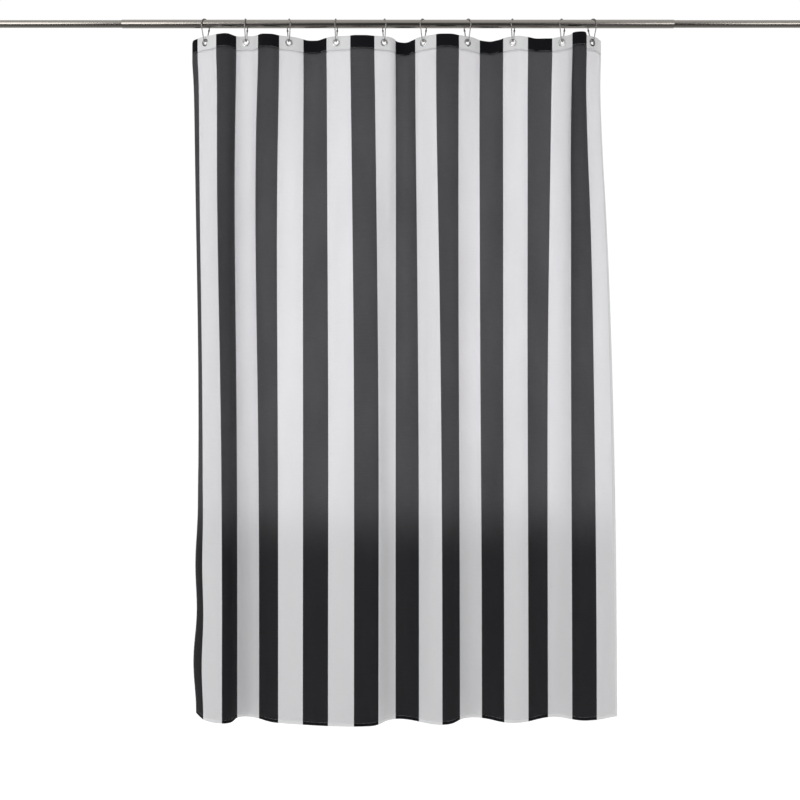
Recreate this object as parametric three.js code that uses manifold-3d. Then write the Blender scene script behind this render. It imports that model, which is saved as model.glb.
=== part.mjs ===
// A striped shower curtain on its telescopic rod: ten wire rings run on the rod, each ring passes
// through a two-part metal eyelet, and the eyelets are set in the folded heading of the cloth.
// Millimetres. X runs along the rod from the left wall, -Y is the room side, Z is up.
// The origin is the middle of the left foot, on the wall; the rod's axis is the X axis.
import * as THREE from "three";
import { mergeVertices } from "three/addons/utils/BufferGeometryUtils.js";
import Module from "manifold-3d";

const wasm = await Module();
wasm.setup();

const CLEARANCE = 0.3; // kept between pieces that touch
const SWING_PLAY = 0.3; // more above the wire in an eyelet, which turns as the cloth swings

// Rod
const ROD_SPAN = 2450; // wall to wall
const CENTRE_TUBE_LENGTH = 1610;
const CENTRE_TUBE_DIAMETER = 24;
const CENTRE_TUBE_SHIFT = -6; // from the middle of the span
const END_TUBE_DIAMETER = 21.5;
const TUBE_WALL = 0.8;
const TUBE_OVERLAP = 120; // end tube inside the centre tube
const LOCK_STEM_LENGTH = 30;
const LOCK_HEAD_LENGTH = 12;
const PAD_DIAMETER = 44;
const PAD_THICKNESS = 3;
const CUP_DIAMETER = 42;
const CUP_FLANGE = 4;
const CUP_WALL = 3;
const CUP_DEPTH = 26; // how far the end tube goes into the cup
const TUBE_SIDES = 24;

// Rings
const WIRE_DIAMETER = 3;
const RING_FOOT_RADIUS = 8; // of the wire's centre line
const RING_HEIGHT = 65.2; // between the centre line's top and foot
const CLASP_DIAMETER = 5.2;
const CLASP_LENGTH = 7;
const CLASP_GAP = 0.8; // between the wire's two ends, inside the clasp
const CLASP_BELOW_ROD = 15; // from the rod's axis
const WIRE_SIDES = 8;
const WIRE_STEPS = 32;

// Cloth
const CLOTH_WIDTH = 1500;
const CLOTH_HEIGHT = 2000;
const CLOTH_THICKNESS = 0.4;
const CURTAIN_SHIFT = -13; // the cloth's middle, from the middle of the span
const HEADING_HEIGHT = 39;
const TAPE_THICKNESS = 0.3;
const TAPE_MARGIN = 2; // between the tape and the heading's ends
const HEADING_SAG = 4; // between two rings
const SAG_REACH = 160; // height over which the sag dies out

// Eyelets
const EYELET_COUNT = 10;
const LEFT_MARGIN = 105; // from the cloth's left edge to the first eyelet
const RIGHT_MARGIN = 45;
const EYELET_DROP = 18.5; // from the cloth's top edge to the eyelet's middle
const EYELET_BORE = 12;
const EYELET_DIAMETER = 22;
const EYELET_BARREL_WALL = 0.5;
const FLANGE_THICKNESS = 0.8;
const WASHER_THICKNESS = 0.6;
const LIP_THICKNESS = 0.4;
const LIP_WIDTH = 1.1;
const EYELET_SIDES = 14;
const FLAT_HALF = 13; // the cloth lies flat this far to each side of an eyelet

// Folds. Depths are shares of the eyelet pitch, back from the rod. Turns are in degrees about Z.
const EYELET_TURNS = [29, 5, -19, 8, -15, 30, -28, 21, 31, -32];
const BAY_DEPTHS = [-0.25, -0.24, 0.18, -0.16, 0.29, -0.24, 0.22, 0.04, -0.36];
const LEFT_END = { depth: 0.45, slope: -0.99 };
const RIGHT_END = { depth: 0.21, slope: 0.8 };
const LEFT_CURL = 54; // degrees that the top left edge turns on behind the cloth
// Folds at the hem: place along the cloth in eyelet pitches, then depth.
const HEM_FOLDS = [
  [0, 0.54],
  [1.01, -0.15],
  [1.66, 0.32],
  [2.48, -0.08],
  [4.27, -0.3],
  [5.04, 0.17],
  [6.01, -0.2],
  [6.8, 0.27],
  [7.69, -0.09],
  [8.61, 0.3],
  [9.25, 0.06],
  [10, 0.34],
];
const FOLD_GAIN = 0.02; // folds are this much deeper below the heading than at the hem
const FOLD_EASE = 2.34; // how soon the heading's folds become the hem's
const MIXED_GAIN = 0.13; // folds are this much deeper where the two kinds mix evenly
const HEM_SETBACK = 7; // keeps the cloth's weight under the rod
const STRAIGHT_TOP = 60; // height below the top edge in which the folds don't change
const STEEPEST = 0.985; // sine of the cloth's largest turn from the rod
const INTEGRATION_STEPS = 3000;
const FACETS_PER_BAY = 5;
const BODY_ROWS = 9;
const ROW_SPREAD = 1.3; // rows lie closer together near the top

// Worked out
const EYELET_PITCH = (CLOTH_WIDTH - LEFT_MARGIN - RIGHT_MARGIN) / (EYELET_COUNT - 1);
const ROD_RADIUS = CENTRE_TUBE_DIAMETER / 2;
const CENTRE_TUBE_START = (ROD_SPAN - CENTRE_TUBE_LENGTH) / 2 + CENTRE_TUBE_SHIFT;
const CENTRE_TUBE_END = CENTRE_TUBE_START + CENTRE_TUBE_LENGTH;
const WIRE_RADIUS = WIRE_DIAMETER / 2;
const WIDEST_TURN = THREE.MathUtils.degToRad(Math.max(...EYELET_TURNS.map(Math.abs)));
// The ring that is turned furthest crosses the rod on a slant; its top bends no tighter than that.
const ROD_ACROSS_RING = (ROD_RADIUS + CLEARANCE) / Math.cos(WIDEST_TURN) ** 2;
const RING_TOP_RADIUS = ROD_ACROSS_RING + WIRE_RADIUS;
const RING_TOP = ROD_RADIUS + CLEARANCE + WIRE_RADIUS;
const RING_FOOT = RING_TOP - RING_HEIGHT;
const HALF_CLOTH = CLOTH_THICKNESS / 2;
const TUNNEL_DEPTH = TAPE_THICKNESS + 2 * CLEARANCE;
const HEADING_BACK = HALF_CLOTH + TUNNEL_DEPTH + CLOTH_THICKNESS;
const LIP_FRONT = HEADING_BACK + 2 * CLEARANCE + WASHER_THICKNESS;
const EYELET_REACH = LIP_FRONT + LIP_THICKNESS; // from the cloth's middle to the eyelet's back
const INNER_FOOT = RING_FOOT_RADIUS - WIRE_RADIUS;
const FOOT_RISE = INNER_FOOT - Math.sqrt(INNER_FOOT ** 2 - EYELET_REACH ** 2);
const WIRE_SEAT = RING_FOOT + WIRE_RADIUS + FOOT_RISE;
const EYELET_Z = WIRE_SEAT + CLEARANCE + SWING_PLAY - EYELET_BORE / 2;
const CLOTH_TOP = EYELET_Z + EYELET_DROP;

const METAL = { color: 0xb8b9bb, roughness: 0.28, metalness: 1 };
const SATIN = { color: 0x8d8a86, roughness: 0.4, metalness: 1 };
const CLOTH = { color: 0x8a8a90, roughness: 0.9, metalness: 0 };
const RUBBER = { color: 0x2c2c2e, roughness: 0.9, metalness: 0 };
const PLASTIC = { color: 0x8b8c8e, roughness: 0.5, metalness: 0 };

const curtain = new THREE.Group();

function add(name, geometry, look) {
  const mesh = new THREE.Mesh(geometry, new THREE.MeshStandardMaterial(look));
  mesh.name = name;
  curtain.add(mesh);
  return mesh;
}

// A closed geometry as a manifold solid.
function solid(geometry) {
  const bare = geometry.clone();
  bare.deleteAttribute("normal");
  bare.deleteAttribute("uv");
  const merged = mergeVertices(bare, 1e-4);
  const vertProperties = merged.attributes.position.array;
  const triVerts = new Uint32Array(merged.index.array);
  return new wasm.Manifold(new wasm.Mesh({ numProp: 3, vertProperties, triVerts }));
}

function geometryOf(manifold) {
  const mesh = manifold.getMesh();
  const geometry = new THREE.BufferGeometry();
  geometry.setAttribute("position", new THREE.BufferAttribute(mesh.vertProperties, mesh.numProp));
  geometry.setIndex(new THREE.BufferAttribute(mesh.triVerts, 1));
  return geometry;
}

// A solid of revolution about X from [place along X, radius] pairs.
function turned(outline, sides) {
  const points = outline.map(([x, radius]) => new THREE.Vector2(radius, x));
  const geometry = new THREE.LatheGeometry(points, sides);
  return geometry.rotateZ(-Math.PI / 2);
}

// A tube along X between two places; its outline closes on itself.
function tubeBetween(start, end, outer, inner) {
  return turned(
    [[start, inner], [start, outer], [end, outer], [end, inner], [start, inner]],
    TUBE_SIDES,
  );
}

// ---------- Rod ----------

// What the left side gets is mirrored about the middle of a length for the right side.
function mirrored(outline, span) {
  return outline.map(([x, radius]) => [span - x, radius]).reverse();
}

function footPad() {
  const radius = PAD_DIAMETER / 2;
  return [[0, 0], [0, radius], [PAD_THICKNESS, radius - 1], [PAD_THICKNESS, 0]];
}

function endCup() {
  const start = PAD_THICKNESS + CLEARANCE;
  const floor = start + CUP_FLANGE;
  const mouth = floor + CUP_DEPTH;
  const bore = END_TUBE_DIAMETER / 2 + CLEARANCE;
  const hub = bore + CUP_WALL;
  return [
    [start, 0],
    [start, CUP_DIAMETER / 2],
    [floor, CUP_DIAMETER / 2 - 1],
    [floor + 1, hub + 1],
    [mouth - 1, hub],
    [mouth, hub - 1],
    [mouth, bore],
    [floor, bore],
    [floor, 0],
  ];
}

// The plug on an end tube's inner end: its head swells against the centre tube when it is turned.
function twistLock(tubeEnd) {
  const stem = END_TUBE_DIAMETER / 2 - TUBE_WALL - CLEARANCE;
  const head = ROD_RADIUS - TUBE_WALL - CLEARANCE;
  const shoulder = tubeEnd + CLEARANCE;
  const tip = shoulder + LOCK_HEAD_LENGTH;
  return [
    [tubeEnd - LOCK_STEM_LENGTH, 0],
    [tubeEnd - LOCK_STEM_LENGTH, stem],
    [shoulder, stem],
    [shoulder, head],
    [tip - 1, head],
    [tip, head - 1],
    [tip, 0],
  ];
}

function buildRod() {
  const endTube = END_TUBE_DIAMETER / 2;
  const tubeStart = PAD_THICKNESS + CUP_FLANGE + 2 * CLEARANCE;
  const leftEnd = CENTRE_TUBE_START + TUBE_OVERLAP;
  const rightEnd = ROD_SPAN - CENTRE_TUBE_END + TUBE_OVERLAP;
  const centre = tubeBetween(CENTRE_TUBE_START, CENTRE_TUBE_END, ROD_RADIUS, ROD_RADIUS - TUBE_WALL);
  add("centre_tube", centre, SATIN);
  add("left_tube", tubeBetween(tubeStart, leftEnd, endTube, endTube - TUBE_WALL), SATIN);
  const rightTube = tubeBetween(
    ROD_SPAN - rightEnd, ROD_SPAN - tubeStart, endTube, endTube - TUBE_WALL,
  );
  add("right_tube", rightTube, SATIN);
  add("left_twist_lock", turned(twistLock(leftEnd), TUBE_SIDES), PLASTIC);
  add("right_twist_lock", turned(mirrored(twistLock(rightEnd), ROD_SPAN), TUBE_SIDES), PLASTIC);
  add("left_end_cup", turned(endCup(), TUBE_SIDES), SATIN);
  add("right_end_cup", turned(mirrored(endCup(), ROD_SPAN), TUBE_SIDES), SATIN);
  add("left_foot_pad", turned(footPad(), TUBE_SIDES), RUBBER);
  add("right_foot_pad", turned(mirrored(footPad(), ROD_SPAN), TUBE_SIDES), RUBBER);
}

// ---------- How the cloth hangs ----------

// The smooth line through [place, depth, slope] knots, and its slope, at a place.
function throughKnots(knots, place) {
  let i = 0;
  while (i < knots.length - 2 && place > knots[i + 1][0]) i += 1;
  const [from, depthFrom, slopeFrom] = knots[i];
  const [to, depthTo, slopeTo] = knots[i + 1];
  const length = to - from;
  const t = (place - from) / length;
  const rise = 6 * t * (1 - t) / length;
  return (
    rise * (depthTo - depthFrom) +
    (1 - t) * (1 - 3 * t) * slopeFrom +
    t * (3 * t - 2) * slopeTo
  );
}

const eyeletPlaces = Array.from(
  { length: EYELET_COUNT },
  (_, k) => LEFT_MARGIN + k * EYELET_PITCH,
);

function headingKnots() {
  const knots = [[0, LEFT_END.depth * EYELET_PITCH, LEFT_END.slope]];
  eyeletPlaces.forEach((place, k) => {
    const slope = -Math.sin(THREE.MathUtils.degToRad(EYELET_TURNS[k]));
    knots.push([place - FLAT_HALF, -slope * FLAT_HALF, slope]);
    knots.push([place + FLAT_HALF, slope * FLAT_HALF, slope]);
    if (k < EYELET_COUNT - 1) {
      knots.push([place + EYELET_PITCH / 2, BAY_DEPTHS[k] * EYELET_PITCH, 0]);
    }
  });
  knots.push([CLOTH_WIDTH, RIGHT_END.depth * EYELET_PITCH, RIGHT_END.slope]);
  return knots;
}

// Slopes at the hem's knots follow their neighbours; the free edges are turned further.
function hemKnots() {
  const pitch = CLOTH_WIDTH / EYELET_COUNT;
  const knots = HEM_FOLDS.map(([place, depth]) => [place * pitch, depth * EYELET_PITCH]);
  const last = knots.length - 1;
  const slope = (a, b) => (knots[b][1] - knots[a][1]) / (knots[b][0] - knots[a][0]);
  return knots.map(([place, depth], i) => {
    if (i === 0) return [place, depth, 1.3 * slope(0, 1)];
    if (i === last) return [place, depth, 1.2 * slope(last - 1, last)];
    return [place, depth, slope(i - 1, i + 1)];
  });
}

const headingLine = headingKnots();
const hemLine = hemKnots();

// How far the folds have changed from the heading's to the hem's, at a height below the top.
function share(below) {
  const t = Math.max(0, below - STRAIGHT_TOP) / (CLOTH_HEIGHT - STRAIGHT_TOP);
  return { hem: 1 - (1 - t) ** FOLD_EASE, gain: 1 + FOLD_GAIN * (1 - t) };
}

// The cloth's turn from the X direction, in radians, at a place along it.
function turnAt(place, below) {
  const { hem, gain } = share(below);
  const top = throughKnots(headingLine, place);
  const foot = throughKnots(hemLine, place) * gain;
  const sine = ((1 - hem) * top + hem * foot) * (1 + MIXED_GAIN * 4 * hem * (1 - hem));
  const reach = LEFT_MARGIN - FLAT_HALF;
  const curl = Math.max(0, 1 - place / reach);
  const extra = THREE.MathUtils.degToRad(LEFT_CURL) * (1 - hem) * curl * curl * (3 - 2 * curl);
  return Math.asin(THREE.MathUtils.clamp(sine, -STEEPEST, STEEPEST)) - extra;
}

// The cloth seen from above at one height: it doesn't stretch, so its turns are summed along it.
function planAt(below) {
  const step = CLOTH_WIDTH / INTEGRATION_STEPS;
  const x = [0];
  const y = [0];
  for (let i = 0; i < INTEGRATION_STEPS; i += 1) {
    const turn = turnAt((i + 0.5) * step, below);
    x.push(x[i] + Math.cos(turn) * step);
    y.push(y[i] + Math.sin(turn) * step);
  }
  const sample = (list, place) => {
    const at = Math.min(place / step, INTEGRATION_STEPS - 1e-6);
    const i = Math.floor(at);
    return list[i] + (at - i) * (list[i + 1] - list[i]);
  };
  const shiftX = ROD_SPAN / 2 + CURTAIN_SHIFT - sample(x, CLOTH_WIDTH / 2);
  const shiftY = depthOfFirstEyelet(below) - sample(y, eyeletPlaces[0]);
  return (place) => new THREE.Vector3(sample(x, place) + shiftX, sample(y, place) + shiftY, 0);
}

// Under the heading the first eyelet's line hangs below the rod's axis; it moves with the folds.
function depthOfFirstEyelet(below) {
  const { hem, gain } = share(below);
  const pitch = CLOTH_WIDTH / EYELET_COUNT;
  const [start, end] = HEM_FOLDS;
  const t = (eyeletPlaces[0] / pitch - start[0]) / (end[0] - start[0]);
  const fold = gain * EYELET_PITCH * (start[1] + (end[1] - start[1]) * t * (2 - t));
  return hem * (fold + HEM_SETBACK);
}

// Height of a point of the cloth: the top edge sags between the rings.
function heightAt(place, below) {
  const phase = ((place - LEFT_MARGIN) / EYELET_PITCH) * Math.PI;
  const sag = HEADING_SAG * Math.sin(phase) ** 2 * Math.exp(-below / SAG_REACH);
  return CLOTH_TOP - below - sag;
}

// ---------- Cloth ----------

// Places along the cloth where its facets meet: the tape's two ends, and a flat facet at each eyelet.
function facetEdges() {
  const edges = [0, TAPE_MARGIN];
  const spread = (to, count) => {
    const from = edges[edges.length - 1];
    for (let i = 1; i <= count; i += 1) edges.push(from + ((to - from) * i) / count);
  };
  eyeletPlaces.forEach((place, k) => {
    spread(place - FLAT_HALF, k === 0 ? 5 : FACETS_PER_BAY);
    edges.push(place + FLAT_HALF);
  });
  spread(CLOTH_WIDTH - TAPE_MARGIN, 2);
  edges.push(CLOTH_WIDTH);
  return edges;
}

const plans = new Map();

function planFor(below) {
  const key = Math.max(below, STRAIGHT_TOP);
  if (!plans.has(key)) plans.set(key, planAt(key));
  return plans.get(key);
}

// A point that lies offset behind the cloth's middle face.
function clothPoint(place, below, offset) {
  const turn = turnAt(place, Math.max(below, STRAIGHT_TOP));
  const point = planFor(below)(place);
  point.x -= Math.sin(turn) * offset;
  point.y += Math.cos(turn) * offset;
  point.z = heightAt(place, below);
  return point;
}

// The other face of a four-sided facet, split along the same diagonal.
function turnedOver([a, b, c, d]) {
  return [a, d, c, b];
}

// Sweeps closed loops of [offset, below] pairs along the cloth between two places: the outside,
// then any tunnels, all running the same way round. Convex polygons fill the section at each end.
// Front and back split along the same diagonal, so that a twisted facet keeps its thickness.
function sweptAlongCloth(loops, endPolygons, edges) {
  const positions = [];
  const fan = (points) => {
    for (let i = 1; i < points.length - 1; i += 1) {
      for (const point of [points[0], points[i], points[i + 1]]) positions.push(...point);
    }
  };
  const at = (place, [offset, below]) => clothPoint(place, below, offset);
  loops.forEach((loop, n) => {
    for (let i = 0; i < edges.length - 1; i += 1) {
      for (let j = 0; j < loop.length; j += 1) {
        const next = loop[(j + 1) % loop.length];
        const corners = [
          at(edges[i], loop[j]),
          at(edges[i + 1], loop[j]),
          at(edges[i + 1], next),
          at(edges[i], next),
        ];
        if (next[1] < loop[j][1]) corners.push(corners.shift());
        fan(n === 0 ? corners : turnedOver(corners));
      }
    }
  });
  for (const polygon of endPolygons) {
    fan(polygon.map((corner) => at(edges[0], corner)));
    fan(polygon.map((corner) => at(edges[edges.length - 1], corner)).reverse());
  }
  const geometry = new THREE.BufferGeometry();
  geometry.setAttribute("position", new THREE.Float32BufferAttribute(positions, 3));
  return geometry;
}

// The sheet with its heading folded to the back and sewn down, as a tunnel open at both ends.
function panelSection() {
  const rows = [HEADING_HEIGHT, STRAIGHT_TOP];
  for (let i = 1; i <= BODY_ROWS; i += 1) {
    const t = (i / BODY_ROWS) ** ROW_SPREAD;
    rows.push(STRAIGHT_TOP + (CLOTH_HEIGHT - STRAIGHT_TOP) * t);
  }
  const frontTop = [-HALF_CLOTH, 0];
  const backTop = [HEADING_BACK, 0];
  const backFoot = [HEADING_BACK, HEADING_HEIGHT];
  const front = rows.map((below) => [-HALF_CLOTH, below]);
  const back = rows.map((below) => [HALF_CLOTH, below]);
  const outside = [backTop, backFoot, ...back, ...front.slice().reverse(), frontTop];
  const top = CLOTH_THICKNESS;
  const foot = HEADING_HEIGHT - CLOTH_THICKNESS;
  const inner = HALF_CLOTH + TUNNEL_DEPTH;
  const tunnel = [[inner, top], [inner, foot], [HALF_CLOTH, foot], [HALF_CLOTH, top]];
  const ends = [
    [backTop, tunnel[0], tunnel[3], frontTop],
    [backTop, backFoot, tunnel[1], tunnel[0]],
    [backFoot, back[0], tunnel[2], tunnel[1]],
    [tunnel[3], tunnel[2], front[0], frontTop],
    [tunnel[2], back[0], front[0]],
  ];
  for (let j = 0; j < rows.length - 1; j += 1) {
    ends.push([back[j], back[j + 1], front[j + 1], front[j]]);
  }
  return { loops: [outside, tunnel], ends };
}

function tapeSection() {
  const front = HALF_CLOTH + CLEARANCE;
  const back = front + TAPE_THICKNESS;
  const top = CLOTH_THICKNESS + CLEARANCE;
  const foot = HEADING_HEIGHT - CLOTH_THICKNESS - CLEARANCE;
  const outside = [[back, top], [back, foot], [front, foot], [front, top]];
  return { loops: [outside], ends: [outside] };
}

// Where an eyelet sits: its local X axis points back through the cloth.
function atEyelet(k) {
  const place = eyeletPlaces[k];
  const centre = planFor(STRAIGHT_TOP)(place);
  centre.z = EYELET_Z;
  const turn = turnAt(place, STRAIGHT_TOP);
  const matrix = new THREE.Matrix4().makeRotationZ(turn + Math.PI / 2);
  return matrix.setPosition(centre);
}

function barrelHoles() {
  const radius = EYELET_BORE / 2 + EYELET_BARREL_WALL + CLEARANCE;
  const outline = [[-3, 0], [-3, radius], [5, radius], [5, 0]];
  return eyeletPlaces.map((_, k) => solid(turned(outline, EYELET_SIDES).applyMatrix4(atEyelet(k))));
}

function buildCloth() {
  const edges = facetEdges();
  const holes = barrelHoles();
  const sheet = ({ loops, ends }, along) => {
    const whole = solid(sweptAlongCloth(loops, ends, along));
    return geometryOf(holes.reduce((rest, hole) => rest.subtract(hole), whole));
  };
  add("curtain_panel", sheet(panelSection(), edges), CLOTH);
  add("heading_tape", sheet(tapeSection(), edges.slice(1, -1)), CLOTH);
}

// ---------- Eyelets ----------

// The front half: a domed flange, a barrel through the cloth, and a lip rolled over the washer.
function eyeletFront() {
  const bore = EYELET_BORE / 2;
  const barrel = bore + EYELET_BARREL_WALL;
  const face = -HALF_CLOTH - CLEARANCE;
  const lip = LIP_FRONT;
  const rim = EYELET_DIAMETER / 2;
  return turned(
    [
      [face - FLANGE_THICKNESS / 2, bore],
      [EYELET_REACH, bore],
      [EYELET_REACH, barrel + LIP_WIDTH],
      [lip, barrel + LIP_WIDTH],
      [lip, barrel],
      [face, barrel],
      [face, rim],
      [face - FLANGE_THICKNESS / 2, rim - 0.3],
      [face - FLANGE_THICKNESS, rim - 2],
      [face - FLANGE_THICKNESS, bore + 1.2],
      [face - FLANGE_THICKNESS / 2, bore],
    ].reverse(),
    EYELET_SIDES,
  );
}

function eyeletWasher() {
  const inner = EYELET_BORE / 2 + EYELET_BARREL_WALL + CLEARANCE;
  const rim = EYELET_DIAMETER / 2;
  const front = HEADING_BACK + CLEARANCE;
  const back = front + WASHER_THICKNESS;
  return turned(
    [[front, inner], [front, rim], [back, rim - 0.5], [back, inner], [front, inner]],
    EYELET_SIDES,
  );
}

function buildEyelets() {
  eyeletPlaces.forEach((_, k) => {
    const number = String(k + 1).padStart(2, "0");
    const matrix = atEyelet(k);
    add(`eyelet_front_${number}`, eyeletFront().applyMatrix4(matrix), METAL);
    add(`eyelet_back_${number}`, eyeletWasher().applyMatrix4(matrix), METAL);
  });
}

// ---------- Rings ----------

// The wire's centre line in the ring's plane, X back and Y up: two arcs joined by straight sides.
// It starts above the clasp, goes over the rod and round the foot, and ends below the clasp.
function ringLine() {
  const upper = RING_TOP - RING_TOP_RADIUS;
  const lower = RING_FOOT + RING_FOOT_RADIUS;
  const lean = Math.asin((RING_TOP_RADIUS - RING_FOOT_RADIUS) / (upper - lower));
  const sideTop = new THREE.Vector2(
    RING_TOP_RADIUS * Math.cos(lean),
    upper - RING_TOP_RADIUS * Math.sin(lean),
  );
  const backAt = (z) => new THREE.Vector2(sideTop.x - (sideTop.y - z) * Math.tan(lean), z);
  const path = new THREE.Path();
  const start = backAt(-CLASP_BELOW_ROD + CLASP_GAP / 2);
  path.moveTo(start.x, start.y);
  path.lineTo(sideTop.x, sideTop.y);
  path.absarc(0, upper, RING_TOP_RADIUS, -lean, Math.PI + lean, false);
  path.absarc(0, lower, RING_FOOT_RADIUS, Math.PI + lean, 2 * Math.PI - lean, false);
  const end = backAt(-CLASP_BELOW_ROD - CLASP_GAP / 2);
  path.lineTo(end.x, end.y);
  return { path, clasp: backAt(-CLASP_BELOW_ROD), lean };
}

class WireLine extends THREE.Curve {
  constructor(path) {
    super();
    this.path = path;
  }
  getPoint(t, target = new THREE.Vector3()) {
    const point = this.path.getPointAt(t);
    return target.set(point.x, 0, point.y);
  }
}

// A ring in its own plane, X back and Z up, with the rod's axis at the origin.
function ringSolid() {
  const { path, clasp, lean } = ringLine();
  const section = new THREE.Shape();
  for (let i = 0; i < WIRE_SIDES; i += 1) {
    const angle = ((i + 0.5) / WIRE_SIDES) * 2 * Math.PI;
    const x = Math.cos(angle) * WIRE_RADIUS;
    const y = Math.sin(angle) * WIRE_RADIUS;
    if (i === 0) section.moveTo(x, y);
    else section.lineTo(x, y);
  }
  const wire = new THREE.ExtrudeGeometry(section, {
    steps: WIRE_STEPS,
    extrudePath: new WireLine(path),
    curveSegments: 1,
  });
  const sleeve = new THREE.CylinderGeometry(
    CLASP_DIAMETER / 2, CLASP_DIAMETER / 2, CLASP_LENGTH, 10,
  );
  sleeve.rotateX(Math.PI / 2);
  sleeve.rotateY(lean);
  sleeve.translate(clasp.x, 0, clasp.y);
  return geometryOf(solid(wire).add(solid(sleeve)));
}

function buildRings() {
  const ring = ringSolid();
  eyeletPlaces.forEach((place, k) => {
    const number = String(k + 1).padStart(2, "0");
    const mesh = add(`hook_${number}`, ring.clone(), METAL);
    mesh.position.x = planFor(STRAIGHT_TOP)(place).x;
    mesh.rotation.z = turnAt(place, STRAIGHT_TOP) + Math.PI / 2;
  });
}

buildRod();
buildCloth();
buildEyelets();
buildRings();

export default curtain;
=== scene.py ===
import bmesh
import bpy
import numpy as np
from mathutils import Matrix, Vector


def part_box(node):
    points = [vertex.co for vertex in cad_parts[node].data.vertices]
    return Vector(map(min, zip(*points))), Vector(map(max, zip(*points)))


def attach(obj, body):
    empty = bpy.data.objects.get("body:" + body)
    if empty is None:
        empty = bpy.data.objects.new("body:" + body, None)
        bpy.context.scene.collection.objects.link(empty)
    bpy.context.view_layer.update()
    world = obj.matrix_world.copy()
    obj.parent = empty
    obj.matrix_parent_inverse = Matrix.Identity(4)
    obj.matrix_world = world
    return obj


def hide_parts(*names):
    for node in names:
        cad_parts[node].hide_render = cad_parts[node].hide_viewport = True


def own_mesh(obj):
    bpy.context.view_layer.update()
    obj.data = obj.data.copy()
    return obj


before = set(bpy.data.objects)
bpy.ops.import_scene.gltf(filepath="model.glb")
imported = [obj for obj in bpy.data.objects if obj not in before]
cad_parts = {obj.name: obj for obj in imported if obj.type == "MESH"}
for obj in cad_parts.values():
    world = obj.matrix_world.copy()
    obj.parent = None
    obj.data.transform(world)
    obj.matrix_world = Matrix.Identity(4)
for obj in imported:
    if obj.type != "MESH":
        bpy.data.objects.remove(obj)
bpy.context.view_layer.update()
rod_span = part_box("right_foot_pad")[1].x

# ---------------------------------------------------------------------------------------------
# The rod: a thick middle tube of satin steel with a thinner tube sliding in each end, a cup on
# each outer end, a rubber foot against each wall, and a plastic twist lock inside each joint.
# The tubes are drawn and brushed along their length, and the edges of their ends are rounded.
# ---------------------------------------------------------------------------------------------

TUBE_FACETS = 96
TUBE_EDGE = 0.0003  # the small rounding on a cut tube's edges


class Wire:
    """One socket of a material. Arithmetic on it adds Math nodes to the material."""

    def __init__(self, tree, socket):
        self.tree = tree
        self.socket = socket

    def node(self, kind, settings=None, inputs=None):
        """Adds a node of any kind: settings first, then values or links for its sockets."""
        made = self.tree.nodes.new(kind)
        for name, value in (settings or {}).items():
            if name == "stops":
                ramp = made.color_ramp
                while len(ramp.elements) < len(value):
                    ramp.elements.new(0.5)
                for element, (place, colour) in zip(ramp.elements, value):
                    element.position = place
                    element.color = (*colour, 1)
            else:
                setattr(made, name, value)
        for name, value in (inputs or {}).items():
            if isinstance(value, Wire):
                self.tree.links.new(value.socket, made.inputs[name])
            else:
                made.inputs[name].default_value = value
        return Wire(self.tree, made.outputs[0]) if made.outputs else Wire(self.tree, None)

    def out(self, name):
        return Wire(self.tree, self.socket.node.outputs[name])

    def math(self, operation, *values):
        return self.node("ShaderNodeMath", {"operation": operation}, dict(enumerate(values)))

    def __add__(self, other):
        return self.math("ADD", self, other)

    def __radd__(self, other):
        return self.math("ADD", other, self)

    def __sub__(self, other):
        return self.math("SUBTRACT", self, other)

    def __rsub__(self, other):
        return self.math("SUBTRACT", other, self)

    def __mul__(self, other):
        return self.math("MULTIPLY", self, other)

    def __rmul__(self, other):
        return self.math("MULTIPLY", other, self)

    def __truediv__(self, other):
        return self.math("DIVIDE", self, other)

    def stretched(self, scale):
        """A vector times a number on each axis."""
        settings = {"operation": "MULTIPLY"}
        return self.node("ShaderNodeVectorMath", settings, {0: self, 1: scale})

    def noise(self, scale, detail=2.0):
        """Soft noise from 0 to 1 at this vector."""
        inputs = {"Vector": self, "Scale": scale, "Detail": detail}
        return self.node("ShaderNodeTexNoise", None, inputs)

    def tint(self, low, high):
        """The colour from low to high that this number, 0 to 1, gives."""
        inputs = {0: self, 6: (*low, 1), 7: (*high, 1)}
        mix = self.node("ShaderNodeMix", {"data_type": "RGBA"}, inputs)
        return Wire(self.tree, mix.socket.node.outputs[2])

    def bump(self, strength, distance):
        """A normal tilted by this height."""
        inputs = {"Height": self, "Strength": strength, "Distance": distance}
        return self.node("ShaderNodeBump", None, inputs)


def new_material(name):
    """An empty material, and a wire on its object coordinates."""
    material = bpy.data.materials.new(name)
    material.use_nodes = True
    tree = material.node_tree
    tree.nodes.clear()
    place = Wire(tree, None).node("ShaderNodeTexCoord").out("Object")
    return material, place


def show(surface):
    """Makes this shader the surface of its material."""
    surface.node("ShaderNodeOutputMaterial", None, {"Surface": surface})


def brushed_steel(name, dark, light, roughness):
    """Satin steel, drawn along X: long fine lines, and a few broader rubbed patches."""
    material, place = new_material(name)
    lines = place.stretched((3, 900, 900)).noise(1.0, 3.0)
    rubbed = place.stretched((4, 30, 30)).noise(1.0, 2.0)
    surface = place.node(
        "ShaderNodeBsdfPrincipled",
        None,
        {
            "Base Color": (lines * 0.6 + rubbed * 0.4).tint(dark, light),
            "Metallic": 1.0,
            "Roughness": lines * 0.12 + rubbed * 0.1 + (roughness - 0.11),
            "Normal": lines.bump(0.15, 0.0002),
        },
    )
    show(surface)
    return material


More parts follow.
